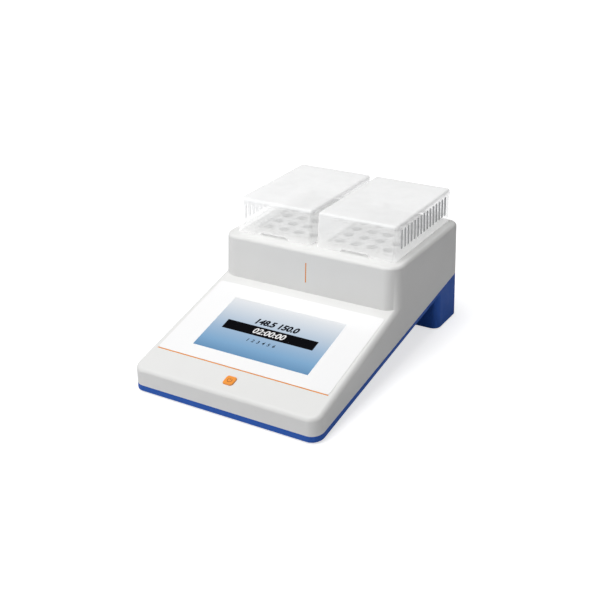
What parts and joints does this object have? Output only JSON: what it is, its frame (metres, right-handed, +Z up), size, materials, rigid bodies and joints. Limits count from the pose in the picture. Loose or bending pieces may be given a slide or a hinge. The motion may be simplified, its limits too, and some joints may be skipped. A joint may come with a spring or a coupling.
{
  "type": "chemical oxygen demand reactor",
  "caption": "Bench heater for sealed digestion vials: sloped control panel in front, two heated well blocks under clear hinged lids on a raised rear box, blue base with a tall rear foot.",
  "frame": {"origin": "middle of the footprint, on the bench surface", "axes": "+X to the user's right, +Y to the rear, +Z up"},
  "size_m": [0.288, 0.428, 0.1984],
  "materials": {
    "white_plastic": "fine matt moulded plastic",
    "blue_plastic": "satin moulded plastic",
    "white_overlay": "glossy printed sheet",
    "screen_glass": "glossy touch screen over a lit display",
    "orange_plastic": "satin moulded plastic",
    "clear_plastic": "lightly frosted clear plastic",
    "block_metal": "bead-blasted, light anodised",
    "frame_plastic": "heat-resistant moulded plastic",
    "steel": "zinc plated",
    "heater_sheet": "silicone rubber heater sheet",
    "insulation": "ceramic fibre felt",
    "black_plastic": "fine matt",
    "circuit_board": "solder-resist green",
    "display": "display can",
    "spacer_plastic": "natural nylon",
    "transformer_core": "laminated core, varnished",
    "aluminium": "extruded",
    "brass": "tinned brass",
    "fuse_glass": "glass fuse",
    "rubber": "soft rubber"
  },
  "bodies": {
    "housing": {"upper_housing": "white_plastic", "base_housing": "blue_plastic", "front_overlay": "white_overlay", "touch_screen": "screen_glass", "accent_line": "orange_plastic", "accent_mark": "orange_plastic", "display_module": "display", "control_board": "circuit_board", "control_parts": "black_plastic", "board_spacers": "spacer_plastic", "board_screws": "steel", "button_switch": "black_plastic", "button_board": "circuit_board", "power_board": "circuit_board", "transformer": "transformer_core", "heater_relays": "black_plastic", "heat_sink": "aluminium", "power_entry": "black_plastic", "inlet_pins": "brass", "chassis_plate": "steel", "block_standoffs": "steel", "front_feet": "rubber", "rear_feet": "rubber", "base_screws": "steel", "right_hinge_rod": "steel", "left_hinge_rod": "steel", "right_hinge_lugs": "white_plastic", "left_hinge_lugs": "white_plastic", "right_heating_block": "block_metal", "left_heating_block": "block_metal", "right_block_base": "block_metal", "left_block_base": "block_metal", "right_bay_frame": "frame_plastic", "left_bay_frame": "frame_plastic", "right_heater": "heater_sheet", "left_heater": "heater_sheet", "right_insulation": "insulation", "left_insulation": "insulation", "right_probe": "steel", "left_probe": "steel", "right_thermal_cutout": "black_plastic", "left_thermal_cutout": "black_plastic"},
    "left_lid": {"left_lid": "clear_plastic"},
    "right_lid": {"right_lid": "clear_plastic"},
    "power_button": {"power_button": "orange_plastic", "switch_plunger": "black_plastic"},
    "mains_rocker": {"mains_rocker": "black_plastic"},
    "fuse_drawer": {"fuse_drawer": "black_plastic", "fuse": "fuse_glass"}
  },
  "joints": [
    {"name": "left_lid_hinge", "type": "hinge", "parent": "housing", "child": "left_lid", "pos_m": [-0.0655, 0.2055, 0.156], "axis": [-1, 0, 0], "range_deg": [0, 100]},
    {"name": "right_lid_hinge", "type": "hinge", "parent": "housing", "child": "right_lid", "pos_m": [0.0655, 0.2055, 0.156], "axis": [-1, 0, 0], "range_deg": [0, 100]},
    {"name": "power_button_press", "type": "slide", "parent": "housing", "child": "power_button", "axis": [0, 0.237, -0.9715], "range_m": [0, 0.0015], "stiffness_N_per_m": 400, "springref_m": -0.001},
    {"name": "mains_rocker_tilt", "type": "hinge", "parent": "housing", "child": "mains_rocker", "pos_m": [-0.03467, 0.2076, 0.033], "axis": [-1, 0, 0], "range_deg": [0, 18]},
    {"name": "fuse_drawer_slide", "type": "slide", "parent": "housing", "child": "fuse_drawer", "axis": [0, 1, 0], "range_m": [0, 0.02]}
  ]
}
